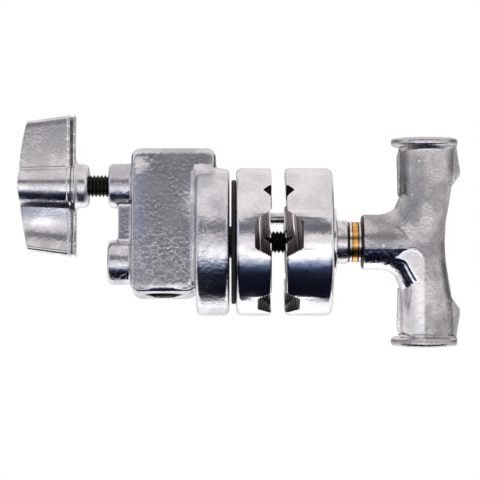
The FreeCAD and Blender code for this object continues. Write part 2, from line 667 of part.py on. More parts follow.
for node, source in nodes.items():
    item = doc.getObject(source)
    item.Label = node
    shape = item.Shape
    if shape.isNull() or not shape.isValid():
        raise ValueError(f"{node} has no valid shape")
    shape.exportStep(f"parts/{node}.step")
    limits = shape.BoundBox
    print(f"{node}: {len(shape.Solids)} solid(s), {shape.Volume:.0f} mm3, "
          f"X {limits.XMin:.1f}..{limits.XMax:.1f} Z {limits.ZMin:.1f}..{limits.ZMax:.1f}")
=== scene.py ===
import math

import bmesh
import bpy
from mathutils import Matrix, Vector


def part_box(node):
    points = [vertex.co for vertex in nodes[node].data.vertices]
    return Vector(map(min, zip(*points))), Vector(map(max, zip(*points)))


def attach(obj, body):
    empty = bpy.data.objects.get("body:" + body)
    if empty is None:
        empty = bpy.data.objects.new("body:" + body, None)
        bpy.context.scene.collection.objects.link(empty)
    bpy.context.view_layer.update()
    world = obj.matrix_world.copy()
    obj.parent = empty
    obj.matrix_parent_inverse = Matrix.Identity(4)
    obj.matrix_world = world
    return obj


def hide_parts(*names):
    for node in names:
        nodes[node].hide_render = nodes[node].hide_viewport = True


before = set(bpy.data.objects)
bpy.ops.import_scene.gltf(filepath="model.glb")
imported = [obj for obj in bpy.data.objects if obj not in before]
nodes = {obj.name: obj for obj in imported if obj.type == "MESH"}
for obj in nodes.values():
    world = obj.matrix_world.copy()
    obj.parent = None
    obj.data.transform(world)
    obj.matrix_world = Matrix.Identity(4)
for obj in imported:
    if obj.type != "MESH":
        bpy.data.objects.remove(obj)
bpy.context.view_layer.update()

scene = bpy.context.scene
mm = 0.001  # lengths are in metres
degreesPerRadian = 57.3
print("frame loaded:", len(nodes), "nodes")

# span is the width that the camera takes in at the target
view = {"target": (0.0327, 0.0, 0.0009), "distance": 0.8, "elevation": -9.0, "span": 0.2074, "reach": (0.02, 20)}


def makeCamera():
    tilt = math.radians(view["elevation"])
    back = Vector((0, -math.cos(tilt), math.sin(tilt)))
    data = bpy.data.cameras.new("camera")
    data.lens = data.sensor_width * view["distance"] / view["span"]
    data.clip_start, data.clip_end = view["reach"]
    camera = bpy.data.objects.new("camera", data)
    camera.location = Vector(view["target"]) + back * view["distance"]
    camera.rotation_mode = "QUATERNION"
    camera.rotation_quaternion = (-back).to_track_quat("-Z", "Y")
    scene.collection.objects.link(camera)
    scene.camera = camera


# One socket of a node tree. Arithmetic on it adds Math nodes, and node() adds any other node.
class Wire:
    def __init__(self, tree, socket=None):
        self.tree, self.socket = tree, socket

    def feed(self, target, value):
        if isinstance(value, Wire):
            self.tree.links.new(value.socket, target)
        else:
            target.default_value = value

    def node(self, kind, settings=None, sockets=None, out=0):
        made = self.tree.nodes.new(kind)
        for key, value in (settings or {}).items():
            if key == "stops":
                fillRamp(made.color_ramp, value)
            else:
                setattr(made, key, value)
        for key, value in (sockets or {}).items():
            self.feed(made.inputs[key], value)
        return Wire(self.tree, made.outputs[out]) if made.outputs else made

    def output(self, name):
        return Wire(self.tree, self.socket.node.outputs[name])  # another output of the same node

    def math(self, operation, *values):
        return self.node("ShaderNodeMath", {"operation": operation}, dict(enumerate(values)))

    def __add__(self, other): return self.math("ADD", self, other)
    def __radd__(self, other): return self.math("ADD", other, self)
    def __sub__(self, other): return self.math("SUBTRACT", self, other)
    def __rsub__(self, other): return self.math("SUBTRACT", other, self)
    def __mul__(self, other): return self.math("MULTIPLY", self, other)
    def __rmul__(self, other): return self.math("MULTIPLY", other, self)
    def __truediv__(self, other): return self.math("DIVIDE", self, other)
    def __rtruediv__(self, other): return self.math("DIVIDE", other, self)
    def __lt__(self, other): return self.math("LESS_THAN", self, other)
    def __gt__(self, other): return self.math("GREATER_THAN", self, other)

    def mapped(self, low, high, toLow=0.0, toHigh=1.0):
        return self.node("ShaderNodeMapRange", {"interpolation_type": "SMOOTHSTEP"},
                         {"Value": self, "From Min": low, "From Max": high, "To Min": toLow, "To Max": toHigh})


def fillRamp(colourRamp, stops):
    while len(colourRamp.elements) < len(stops):
        colourRamp.elements.new(0.5)
    for element, (position, colour) in zip(colourRamp.elements, stops):
        element.position, element.color = position, (*colour, 1)


def mixColour(wire, factor, first, second):
    return wire.node("ShaderNodeMix", {"data_type": "RGBA"}, {0: factor, 6: first, 7: second}, 2)


def rgb(*values):
    return (*values, 1)


# What the metal reflects. Fades are pairs of degrees: round from straight ahead, or up from eye level.
studio = {"strength": 1.0, "ceiling": (0.97, 0.91, 0.90), "front": (0.17, 0.175, 0.20), "left": (0.30, 0.38, 0.56),
          "right": (0.42, 0.37, 0.35), "strip": (1.05, 1.05, 1.05), "shade": (0.03, 0.03, 0.04),
          "rear": (0.5, 0.48, 0.47), "sideFade": (14.0, 46.0), "stripFade": (58.0, 68.0), "shadeFade": (86.0, 96.0),
          "rearFade": (128.0, 142.0), "wallFoot": (2.0, 6.0), "wallHead": (21.0, 28.0)}
overhead = {"energy": 17.0, "size": (1.3, 1.0), "place": (0.05, -0.25, 0.8), "tilt": -18.0}
paperFloor = {"depth": 0.27, "size": (6, 6), "tone": (0.9, 0.9, 0.91), "rough": 0.8}
# a dark flag under the part: black, fading through blue to the floor's brightness towards the front
flagBelow = {"centre": (0.03, -0.17, -0.2), "size": (1.1, 0.455), "fade": (0.05, 0.395),
             "stops": ((0.0, (0.004, 0.005, 0.012)), (0.30, (0.006, 0.009, 0.025)), (0.42, (0.04, 0.065, 0.15)),
                       (0.55, (0.34, 0.43, 0.64)), (0.74, (1.3, 1.3, 1.3)))}


def makeWorld():
    world = bpy.data.worlds.new("studio")
    scene.world = world
    world.use_nodes = True
    wire = Wire(world.node_tree)
    way = wire.node("ShaderNodeSeparateXYZ", None, {0: wire.node("ShaderNodeTexCoord", out="Generated")})
    x, y, z = (way.output(axis) for axis in "XYZ")
    height = wire.math("ARCSINE", z) * degreesPerRadian
    around = wire.math("ARCTAN2", wire.math("ABSOLUTE", x), y * -1.0) * degreesPerRadian
    # a grey wall at eye level; to each side come a tinted screen, a bright strip and a dark gap, then the light rear
    side = mixColour(wire, x > 0.0, rgb(*studio["left"]), rgb(*studio["right"]))
    wall = mixColour(wire, around.mapped(*studio["sideFade"]), rgb(*studio["front"]), side)
    for part in ("strip", "shade", "rear"):
        wall = mixColour(wire, around.mapped(*studio[part + "Fade"]), wall, rgb(*studio[part]))
    band = height.mapped(*studio["wallFoot"]) * height.mapped(*studio["wallHead"], 1.0, 0.0)
    room = mixColour(wire, band, rgb(*studio["ceiling"]), wall)
    room = mixColour(wire, wire.node("ShaderNodeLightPath", out="Is Camera Ray"), room, rgb(1, 1, 1))
    background = world.node_tree.nodes["Background"]
    wire.feed(background.inputs["Color"], room)
    wire.feed(background.inputs["Strength"], studio["strength"])


def makeFloor():
    material = bpy.data.materials.new("floorPaper")
    material.use_nodes = True
    shader = material.node_tree.nodes["Principled BSDF"]
    shader.inputs["Base Color"].default_value = rgb(*paperFloor["tone"])
    shader.inputs["Roughness"].default_value = paperFloor["rough"]
    flatPlane("floor", (0, 0, -paperFloor["depth"]), paperFloor["size"], material)


def makeOverhead():
    lamp = bpy.data.lights.new("overhead", "AREA")
    lamp.shape, lamp.energy = "RECTANGLE", overhead["energy"]
    lamp.size, lamp.size_y = overhead["size"]
    hung = bpy.data.objects.new("overhead", lamp)
    hung.location = overhead["place"]
    hung.visible_glossy = False  # it lights the floor, and the metal reflects the studio alone
    hung.rotation_euler = (math.radians(overhead["tilt"]), 0, 0)
    scene.collection.objects.link(hung)


def flatPlane(name, centre, size, material):
    mesh = bpy.data.meshes.new(name)
    corners = [Vector(centre) + Vector((x * size[0] / 2, y * size[1] / 2, 0))
               for x, y in ((-1, -1), (1, -1), (1, 1), (-1, 1))]
    mesh.from_pydata(corners, [], [(0, 1, 2, 3)])
    mesh.materials.append(material)
    plane = bpy.data.objects.new(name, mesh)
    scene.collection.objects.link(plane)
    return plane


def makeFlag():
    # seen only as a reflection in the metal
    material = bpy.data.materials.new("flagBelow")
    material.use_nodes = True
    shader = material.node_tree.nodes["Principled BSDF"]
    wire = Wire(material.node_tree)
    place = wire.node("ShaderNodeTexCoord", out="Object")
    depth = wire.node("ShaderNodeSeparateXYZ", None, {0: place}, "Y") * -1.0
    start, end = flagBelow["fade"]
    share = wire.node("ShaderNodeMapRange", None, {"Value": depth, "From Min": start, "From Max": end})
    fade = wire.node("ShaderNodeValToRGB", {"stops": flagBelow["stops"]}, {"Fac": share}, "Color")
    shader.inputs["Base Color"].default_value = rgb(0, 0, 0)
    shader.inputs["Specular IOR Level"].default_value = 0
    wire.feed(shader.inputs["Emission Color"], fade)
    shader.inputs["Emission Strength"].default_value = 1.0
    plane = flatPlane("flagBelow", flagBelow["centre"], flagBelow["size"], material)
    plane.visible_camera = plane.visible_shadow = plane.visible_diffuse = False


makeCamera()
makeWorld()
makeFloor()
makeFlag()
makeOverhead()
scene.view_settings.view_transform = "Standard"
print("camera and studio ready")


def newFinish(name):
    material = bpy.data.materials.new(name)
    material.use_nodes = True
    tree = material.node_tree
    wire = Wire(tree)
    return material, tree.nodes["Principled BSDF"], wire, wire.node("ShaderNodeTexCoord", out="Object")


def noise(wire, place, scale, detail=2.0, rough=0.5, stretch=None):
    if stretch:
        place = wire.node("ShaderNodeMapping", None, {"Vector": place, "Scale": stretch})
    return wire.node("ShaderNodeTexNoise", None,
                     {"Vector": place, "Scale": scale, "Detail": detail, "Roughness": rough}, "Fac")


def cells(wire, place, scale):
    return wire.node("ShaderNodeTexVoronoi", None, {"Vector": place, "Scale": scale}, "Distance")


def bumped(wire, shader, height, depth):
    bump = wire.node("ShaderNodeBump", None, {"Height": height, "Distance": depth, "Strength": 1.0}, "Normal")
    wire.feed(shader.inputs["Normal"], bump)


scratchLook = {"stretch": (1.0, 0.04, 1.0), "width": 0.012, "breakUp": 0.06, "edge": 0.1}


def scratches(wire, place, scale, turn, share):
    # thin straight marks: noise stretched hard one way, cut to its ridges and broken up by a coarser noise
    turned = wire.node("ShaderNodeMapping", None,
                       {"Vector": place, "Rotation": turn, "Scale": scratchLook["stretch"]})
    lines = wire.node("ShaderNodeTexNoise", None, {"Vector": turned, "Scale": scale, "Detail": 1.0}, "Fac")
    ridge = wire.math("ABSOLUTE", lines - 0.5).mapped(0.0, scratchLook["width"], 1.0, 0.0)
    broken = noise(wire, place, scale * scratchLook["breakUp"], 1.0)
    return ridge * broken.mapped(1 - share, 1 - share + scratchLook["edge"])


def edgeWear(wire):
    # the mesh's own curvature: high along edges, low in corners
    return wire.node("ShaderNodeNewGeometry", out="Pointiness")


# tone is the clean metal and dark the dull patches; depth is the bump's height in metres
castLook = {"tone": (0.76, 0.76, 0.79), "dark": (0.34, 0.35, 0.39), "grain": 1500, "pebble": 620,
            "rough": (0.12, 0.25), "depth": 0.00011, "mottle": 0.5}
handleLook = {"tone": (0.60, 0.59, 0.60), "dark": (0.24, 0.24, 0.26), "grain": 1700, "pebble": 1000,
              "rough": (0.2, 0.34), "depth": 0.00011, "mottle": 0.55}
satinLook = {"tone": (0.78, 0.78, 0.80), "dark": (0.38, 0.38, 0.41), "grain": 2300, "pebble": 900,
             "rough": (0.12, 0.27), "depth": 0.00005, "mottle": 0.4}
polishLook = {"tone": (0.83, 0.83, 0.85), "dark": (0.45, 0.46, 0.50), "grain": 1400, "pebble": 420,
              "rough": (0.05, 0.16), "depth": 0.00006, "mottle": 0.35}
# what all four have: scratches as scale, turn and share of the surface
castWear = {"patch": 90.0, "pit": 170.0, "pitEdge": (0.03, 0.075), "pitShade": 0.5, "grainShade": 0.28,
            "darkest": 0.9, "rubbed": (0.9, 0.9, 0.91), "rubbedEdge": (0.5, 0.58, 0.0, 0.6),
            "scratches": ((260.0, (0.3, 0.2, 0.5), 0.42), (200.0, (1.2, 0.9, 2.1), 0.4))}


def aluminium(name, look):
    material, shader, wire, place = newFinish(name)
    grain = noise(wire, place, look["grain"], 3.0, 0.6)
    pebble = wire.node("ShaderNodeTexVoronoi", {"feature": "SMOOTH_F1"},
                       {"Vector": place, "Scale": look["pebble"], "Smoothness": 0.6}, "Distance")
    patches = noise(wire, place, castWear["patch"], 4.0, 0.6)
    firstMarks, secondMarks = (scratches(wire, place, *mark) for mark in castWear["scratches"])
    marks = firstMarks + secondMarks
    pits = cells(wire, place, castWear["pit"]).mapped(*castWear["pitEdge"], 1.0, 0.0)
    shade = (patches.mapped(0.38, 0.62, 0.0, look["mottle"]) + grain.mapped(0.35, 0.65, 0.0, castWear["grainShade"])
             + pits * castWear["pitShade"])
    base = mixColour(wire, wire.math("MINIMUM", shade, castWear["darkest"]), rgb(*look["tone"]), rgb(*look["dark"]))
    base = mixColour(wire, edgeWear(wire).mapped(*castWear["rubbedEdge"]), base, rgb(*castWear["rubbed"]))
    wire.feed(shader.inputs["Base Color"], base)
    wire.feed(shader.inputs["Metallic"], 1.0)
    wire.feed(shader.inputs["Roughness"], patches.mapped(0.35, 0.65, *look["rough"]) + grain * 0.06 + marks * 0.1)
    bumped(wire, shader, pebble * 0.7 + grain * 0.5 - pits * 0.8 - marks * 0.35 + patches * 0.6, look["depth"])
    return material


# rings is in turns for each metre; a seam is its place along the stud and its half width, in millimetres
steelLook = {"tone": (0.72, 0.72, 0.73), "dark": (0.42, 0.41, 0.41), "rough": (0.12, 0.3), "seams": ()}
raceLook = {**steelLook, "seams": ((79.35, 0.55), (81.1, 0.4), (83.35, 0.5), (85.0, 0.55))}
brassLook = {"tone": (0.84, 0.43, 0.09), "dark": (0.48, 0.20, 0.04), "rough": (0.14, 0.3), "seams": ()}
latheMarks = {"rings": 2600.0, "turn": 6.28, "film": 400.0, "grain": 2600.0, "depth": 0.00002,
              "seamShade": (0.012, 0.010, 0.009)}


def turnedMetal(name, look):
    # fine rings about the stud, as a lathe leaves them, a thin film of wear, and painted shade in the seams between
    # rings
    material, shader, wire, place = newFinish(name)
    across = wire.node("ShaderNodeVectorMath", {"operation": "MULTIPLY"}, {0: place, 1: (0, 1, 1)})
    radius = wire.node("ShaderNodeVectorMath", {"operation": "LENGTH"}, {0: across}, "Value")
    along = wire.node("ShaderNodeSeparateXYZ", None, {"Vector": place}, "X")
    lathe = wire.math("SINE", (radius + along) * latheMarks["rings"] * latheMarks["turn"])
    film = noise(wire, place, latheMarks["film"], 4.0, 0.65)
    grain = noise(wire, place, latheMarks["grain"])
    base = mixColour(wire, film.mapped(0.4, 0.65, 0.0, 0.75), rgb(*look["tone"]), rgb(*look["dark"]))
    for seam, half in look["seams"]:  # painted shade, black in the seams between rings
        near = wire.math("ABSOLUTE", along - seam * mm).mapped(half * mm * 0.7, half * mm, 1.0, 0.0)
        base = mixColour(wire, near, base, rgb(*latheMarks["seamShade"]))
    wire.feed(shader.inputs["Base Color"], base)
    wire.feed(shader.inputs["Metallic"], 1.0)
    wire.feed(shader.inputs["Roughness"], film.mapped(0.3, 0.7, *look["rough"]) + grain * 0.05)
    bumped(wire, shader, lathe * 0.3 + grain * 0.5 + film * 0.4, latheMarks["depth"])
    return material


oxideLook = {"tone": (0.015, 0.013, 0.012), "worn": (0.16, 0.13, 0.11)}
# painted shade: a near-black finish laid on grooves, the socket bore and the hub's edge, where shade falls
grooveShadeLook = {"tone": (0.028, 0.022, 0.020), "worn": (0.24, 0.20, 0.18)}
# painted shade, lighter and brown-grey, for the knob's flange groove
flangeShadeLook = {"tone": (0.13, 0.115, 0.105), "worn": (0.36, 0.33, 0.31)}
oxideFilm = {"film": 700.0, "grain": 3000.0, "metal": 0.85, "depth": 0.00002}


# also builds the painted shade finishes for grooves, the bore, the hub's edge and the knob's flange groove
def blackOxide(name, look):
    material, shader, wire, place = newFinish(name)
    film = noise(wire, place, oxideFilm["film"], 4.0, 0.6)
    grain = noise(wire, place, oxideFilm["grain"])
    bare = edgeWear(wire).mapped(0.52, 0.62, 0.0, 0.5) + film.mapped(0.6, 0.8, 0.0, 0.4)
    wire.feed(shader.inputs["Base Color"], mixColour(wire, bare, rgb(*look["tone"]), rgb(*look["worn"])))
    wire.feed(shader.inputs["Metallic"], oxideFilm["metal"])
    wire.feed(shader.inputs["Roughness"], film.mapped(0.3, 0.7, 0.22, 0.42) + grain * 0.08)
    bumped(wire, shader, grain + film * 0.6, oxideFilm["depth"])
    return material


fibreLook = {"dark": (0.006, 0.006, 0.006), "pale": (0.022, 0.020, 0.018), "flake": (0.2, 0.16, 0.1),
             "fibre": 900.0, "lie": (1.0, 1.0, 0.25), "speck": 1100.0, "depth": 0.00005}


def frictionFibre(name, look):
    # pressed fibre with small metal flakes in it
    material, shader, wire, place = newFinish(name)
    fibre = noise(wire, place, look["fibre"], 4.0, 0.7, look["lie"])
    speck = cells(wire, place, look["speck"])
    flakes = speck.mapped(0.08, 0.16, 1.0, 0.0)
    base = mixColour(wire, fibre.mapped(0.4, 0.65), rgb(*look["dark"]), rgb(*look["pale"]))
    wire.feed(shader.inputs["Base Color"], mixColour(wire, flakes * 0.4, base, rgb(*look["flake"])))
    wire.feed(shader.inputs["Metallic"], flakes)
    wire.feed(shader.inputs["Roughness"], fibre.mapped(0.3, 0.7, 0.55, 0.85))
    bumped(wire, shader, fibre + speck * 0.5, look["depth"])
    return material


# two of the finishes made by blackOxide are painted shade for grooves and the flange groove, not oxide
recipes = (("castPebbled", aluminium, castLook), ("grainyCast", aluminium, handleLook),
           ("satinCast", aluminium, satinLook), ("polishedFace", aluminium, polishLook),
           ("brightSteel", turnedMetal, steelLook), ("raceSteel", turnedMetal, raceLook),
           ("grooveStain", blackOxide, grooveShadeLook), ("dullSeam", blackOxide, flangeShadeLook),
           ("brassRace", turnedMetal, brassLook), ("blackOxide", blackOxide, oxideLook),
           ("frictionFibre", frictionFibre, fibreLook))
finishes = {name: make(name, look) for name, make, look in recipes}
nodeFinish = {
    "castPebbled": ["body_casting"],
    "polishedFace": ["inner_jaw", "outer_jaw"],
    "satinCast": ["t_handle", "wing_knob"],
    "blackOxide": ["main_stud", "stud_set_screw", "pivot_bush", "outer_jaw_bush", "knob_stud"],
    "brightSteel": ["guide_pin", "collar_spacer", "bearing_rollers", "handle_insert", "handle_lock_pin",
                    "knob_lock_pin", "thread_insert"],
    "raceSteel": ["inner_race", "outer_race"],
    "brassRace": ["bearing_cage", "pressure_tip"],
    "frictionFibre": ["friction_disc"],
}
for finish, names in nodeFinish.items():
    for name in names:
        nodes[name].data.materials.clear()
        nodes[name].data.materials.append(finishes[finish])
print("finishes made:", ", ".join(finishes))


def addObject(name, mesh):
    made = bpy.data.objects.new(name, mesh)
    scene.collection.objects.link(made)
    return made


def baked(source, name):
    # the evaluated shape as a plain mesh; the working object is dropped
    bpy.context.view_layer.update()
    graph = bpy.context.evaluated_depsgraph_get()
    mesh = bpy.data.meshes.new_from_object(source.evaluated_get(graph), depsgraph=graph)
    mesh.name = name
    bpy.data.objects.remove(source)
    return mesh


def mergedCopy(node):
    shape = bmesh.new()
    shape.from_mesh(nodes[node].data)
    bmesh.ops.remove_doubles(shape, verts=shape.verts, dist=1e-7)
    return shape


def meshFrom(shape, name):
    bmesh.ops.recalc_face_normals(shape, faces=shape.faces)
    mesh = bpy.data.meshes.new(name)
    shape.to_mesh(mesh)
    shape.free()
    return mesh


def addStock(shape, outlines, hollowed=False):
    # a closed lump through the outlines, given as lists of points; a hollowed outline's caps are cut into triangles
    rings = [[shape.verts.new(point) for point in outline] for outline in outlines]
    for lower, upper in zip(rings, rings[1:]):
        for k in range(len(lower)):
            after = (k + 1) % len(lower)
            shape.faces.new((lower[k], lower[after], upper[after], upper[k]))
    for ring in (rings[0], rings[-1]):
        cap = shape.faces.new(ring)
        if hollowed:
            bmesh.ops.triangulate(shape, faces=[cap])


def circle(radius, sides, secondRadius=None):
    # points round a circle, or round an oval that is secondRadius high
    high = radius if secondRadius is None else secondRadius
    turns = [2 * math.pi * k / sides for k in range(sides)]
    return [(radius * math.cos(turn), high * math.sin(turn)) for turn in turns]


def addRound(shape, start, length, firstRadius, lastRadius, turn=None, sides=64):
    # a plug along X from start, used as stock that the remesh joins to its neighbours
    turn = turn or Matrix.Identity(4)
    addStock(shape, [[turn @ Vector((reach, y, z)) + Vector(start) for y, z in circle(radius, sides)]
                     for reach, radius in ((0, firstRadius), (length, lastRadius))])


def castSkin(shape, name, voxel, passes):
    # join all stock into one skin, then let it soften as sand-cast or die-cast metal does
    source = addObject(name, meshFrom(shape, name))
    skin = source.modifiers.new("skin", "REMESH")
    skin.mode, skin.voxel_size, skin.use_smooth_shade = "VOXEL", voxel, True
    soften = source.modifiers.new("soften", "SMOOTH")
    soften.factor, soften.iterations = 0.5, passes
    mesh = baked(source, name)
    mesh.materials.clear()
    return mesh


def stoodFor(mesh, name, body, node, finish):
    mesh.materials.clear()
    mesh.materials.append(finishes[finish])
    piece = addObject(name, mesh)
    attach(piece, body)
    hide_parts(node)
    print(name, "made:", len(mesh.polygons), "faces")


def displaced(mesh, move):
    # sculpting by rule: move each point along its normal by what the rule gives
    normals = [Vector(v.normal) for v in mesh.vertices]
    for vertex, normal in zip(mesh.vertices, normals):
        vertex.co += normal * move(vertex.co, normal)


def ramp(value, low, high):
    # 0 below low and 1 above high, with a smooth step between them
    share = min(max((value - low) / (high - low), 0.0), 1.0)
    return share * share * (3 - 2 * share)


def secondFinishOrShade(mesh, inside, finish="grooveStain"):
    # a second finish on the faces whose middle the rule takes: a real finish such as the buffed patch, or painted
    # shade in grooves and bores
    slot = len(mesh.materials)
    mesh.materials.append(finishes[finish])
    for face in mesh.polygons:
        if inside(face.center):
            face.material_index = slot


studThread = {"pitch": 1.5875 * mm, "depth": 0.86 * mm, "taper": 1.1 * mm, "around": 48, "perTurn": 8}
threadInputs = (("Float", ("Start", "Length", "Outer Radius", "Pitch", "Thread Depth", "End Taper")),
                ("Int", ("Steps Along", "Steps Around")), ("Vector", ("Centre",)), ("Material", ("Finish",)))


def threadTree(name):
    # a sheet of points is rolled round the axis, and the rolled sheet is cut by the thread's profile
    tree = bpy.data.node_groups.new(name, "GeometryNodeTree")
    tree.interface.new_socket("Geometry", in_out="OUTPUT", socket_type="NodeSocketGeometry")
    for kind, labels in threadInputs:
        for label in labels:
            tree.interface.new_socket(label, in_out="INPUT", socket_type="NodeSocket" + kind)
    wire = Wire(tree)
    given = wire.node("NodeGroupInput")
    size = {label: given.output(label) for _, labels in threadInputs for label in labels}
    grid = wire.node("GeometryNodeMeshGrid", None, {"Size X": 1.0, "Size Y": 1.0, "Vertices X": size["Steps Along"],
                                                    "Vertices Y": size["Steps Around"]})
    spot = wire.node("ShaderNodeSeparateXYZ", None, {0: wire.node("GeometryNodeInputPosition")})
    along = spot.output("X") + 0.5
    angle = (spot.output("Y") + 0.5) * (2 * math.pi)
    reach = along * size["Length"]
    phase = wire.math("FRACT", reach / size["Pitch"] - angle / (2 * math.pi) + 100.0)  # 100 keeps it above zero
    crest = (wire.math("ABSOLUTE", phase - 0.5) * 2.0).mapped(0.1, 0.9)
    fromEnd = wire.math("MINIMUM", reach, size["Length"] - reach)
    taper = wire.math("MAXIMUM", size["End Taper"] - fromEnd, 0.0)
    cut = wire.math("MINIMUM", size["Outer Radius"] - size["Thread Depth"] * crest, size["Outer Radius"] - taper)
    radius = cut * wire.math("MINIMUM", along > 0.0005, along < 0.9995)  # closes to a point at each end
    ring = wire.node("ShaderNodeCombineXYZ", None, {
        "X": size["Start"] + reach, "Y": radius * wire.math("COSINE", angle), "Z": radius * wire.math("SINE", angle)})
    centred = wire.node("ShaderNodeVectorMath", {"operation": "ADD"}, {0: ring, 1: size["Centre"]})
    moved = wire.node("GeometryNodeSetPosition", None, {"Geometry": grid, "Position": centred})
    welded = wire.node("GeometryNodeMergeByDistance", None, {"Geometry": moved, "Distance": 1e-6})
    smooth = wire.node("GeometryNodeSetShadeSmooth", None, {"Geometry": welded, "Shade Smooth": False})
    real = wire.node("GeometryNodeRealizeInstances", None, {"Geometry": smooth})
    dressed = wire.node("GeometryNodeSetMaterial", None, {"Geometry": real, "Material": size["Finish"]})
    wire.node("NodeGroupOutput", None, {0: dressed})
    return tree


def threadedRod(name, node, body, finish, tree):
    low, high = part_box(node)
    length, radius = high.x - low.x, (high.z - low.z) / 2
    centre = (low + high) / 2
    holder = addObject(name, bpy.data.meshes.new(name + "Seed"))
    modifier = holder.modifiers.new("thread", "NODES")
    modifier.node_group = tree
    turns = length / studThread["pitch"]
    values = {"Start": low.x, "Length": length, "Outer Radius": radius, "Pitch": studThread["pitch"],
              "Thread Depth": studThread["depth"], "End Taper": studThread["taper"],
              "Steps Along": int(turns * studThread["perTurn"]) + 1, "Steps Around": studThread["around"] + 1,
              "Centre": (0.0, centre.y, centre.z), "Finish": finishes[finish]}
    for item in tree.interface.items_tree:
        if item.in_out == "INPUT":
            modifier[item.identifier] = values[item.name]
    shape = bmesh.new()
    shape.from_mesh(baked(holder, name))
    stoodFor(meshFrom(shape, name), name, body, node, finish)


threads = threadTree("screwThread")
threadedRod("mainStudThread", "main_stud", "head_body", "blackOxide", threads)
threadedRod("knobStudThread", "knob_stud", "wing_knob", "blackOxide", threads)


# Y and Z are taken from the knob's own axis; the wings stand along Z and face -Y
knobShape = {"barrel": 9.1 * mm, "rootHeight": 8.0 * mm, "front": 5.4 * mm, "back": 0.7 * mm, "hollow": 2.5 * mm,
             "tip": 30.3 * mm, "tipRound": 2.6 * mm, "lean": 0.09, "leanFrom": 7 * mm, "crownBow": 3.6 * mm,
             "endSlope": 0.085, "plate": 5.6 * mm, "flange": 8.9 * mm, "boss": 9.45 * mm, "rim": 9.9 * mm,
             "limit": 30.4 * mm, "voxel": 0.36 * mm, "softening": 9}


def wingSection(sign):
    # one wing across the axis: a near-flat outer face and a hollowed inner face, with a rounded tip
    tip, rows = knobShape["tip"], 26
    outer, inner = [], []
    for k in range(rows + 1):
        share = k / rows
        height = tip * share
        lean = knobShape["lean"] * max(height - knobShape["leanFrom"], 0)
        outer.append((-knobShape["front"] - 0.35 * mm * math.sin(math.pi * share) - lean, height))
        reach = (height - knobShape["rootHeight"]) / (tip - knobShape["rootHeight"])
        hollow = knobShape["hollow"] * math.sin(math.pi * min(max(reach, 0), 1)) ** 1.2
        inner.append((knobShape["back"] - hollow - 0.6 * mm * ramp(share, 0.25, 1.0) - lean, height))
    frontY, backY = outer[-1][0], inner[-1][0]
    middle, half = (frontY + backY) / 2, (backY - frontY) / 2
    turns = [math.pi * k / 8 for k in range(1, 8)]
    cap = [(middle - half * math.cos(turn), tip + (math.sin(turn) ** 0.8 - 1) * knobShape["tipRound"])
           for turn in turns]
    straight = [point for point in outer if point[1] < tip - knobShape["tipRound"]]
    outline = straight + cap + inner[len(straight) - 1::-1]
    return [(sign * y, sign * z) for y, z in outline]


def addLoft(shape, outline, centre, plateX, crownX, rows=16):
    # from the flange to the crown, drawn in towards the crown, whose face is bowed
    outlines = []
    for k in range(rows + 1):
        share = k / rows
        drawn = [(y, z * (1 - knobShape["endSlope"] * share)) for y, z in outline]
        points = []
        for y, z in drawn:
            far = crownX + knobShape["crownBow"] * min((z / (28 * mm)) ** 2, 1.3)
            points.append((plateX + (far - plateX) * share, centre.y + y, centre.z + z))
        outlines.append(points)
    addStock(shape, outlines, hollowed=True)


def addFlat(shape, outline, centre, first, last):
    # a plate across the axis between two places along X
    addStock(shape, [[(x, centre.y + y, centre.z + z) for y, z in outline] for x in (first, last)], hollowed=True)


def makeKnob():
    low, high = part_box("wing_knob")
    centre = Vector((0, 0, (low.z + high.z) / 2))
    bossFace, plateFace, plateBack = high.x, high.x - knobShape["plate"], high.x - knobShape["flange"]
    shape = bmesh.new()
    for outline in (wingSection(1), wingSection(-1), circle(knobShape["barrel"], 72)):
        addLoft(shape, outline, centre, plateBack + 0.6 * mm, low.x + 0.15 * mm)
    # parting flange: two thin plates with a fine groove between them
    limit = knobShape["limit"]
    for start, grow in ((plateBack, 0.75 * mm), (plateFace - 1.1 * mm, 0.6 * mm)):
        for sign in (1, -1):
            middleY = sign * -3.4 * mm
            grown = [(y + (grow if y > middleY else -grow), min(max(z * 1.012, -limit), limit))
                     for y, z in wingSection(sign)]
            addFlat(shape, grown, centre, start, start + 1.0 * mm)
        addRound(shape, (start, centre.y, centre.z), 1.0 * mm, knobShape["rim"], knobShape["rim"])
    for sign in (1, -1):
        outline = [(y * 0.8 - sign * 0.5 * mm, z * 0.975) for y, z in wingSection(sign)]
        addFlat(shape, outline, centre, plateBack, plateFace - 0.3 * mm)
    # boss that meets the screw
    boss = knobShape["boss"]
    addRound(shape, (plateBack, centre.y, centre.z), bossFace - plateBack - 1.4 * mm, boss, boss)
    addRound(shape, (bossFace - 1.5 * mm, centre.y, centre.z), 1.5 * mm, boss, 8.3 * mm)
    addRound(shape, (plateFace - 0.2 * mm, centre.y, centre.z), 1.6 * mm, 11.0 * mm, 9.4 * mm)
    mesh = castSkin(shape, "wingKnobCasting", knobShape["voxel"], knobShape["softening"])
    stoodFor(mesh, "wingKnobCasting", "wing_knob", "wing_knob", "satinCast")
    # painted shade in the groove between the flange's plates
    secondFinishOrShade(mesh, lambda point: plateBack + 1.25 * mm < point.x < plateFace - 1.45 * mm, "dullSeam")


makeKnob()

# face is the block's half width in Y, and discBack where the round disc starts along X
bodyShape = {"voxel": 0.55 * mm, "softening": 14, "fillet": 3.0 * mm, "face": 13.5 * mm, "discBack": 14.0 * mm,
             "shoulder": 28.4 * mm, "crown": 1.5 * mm, "bore": 8.3 * mm}


def addWedge(shape, section, first, last):
    # a straight strip of the given three-cornered section between two points
    addStock(shape, [[Vector(end) + Vector(corner) for corner in section] for end in (first, last)])


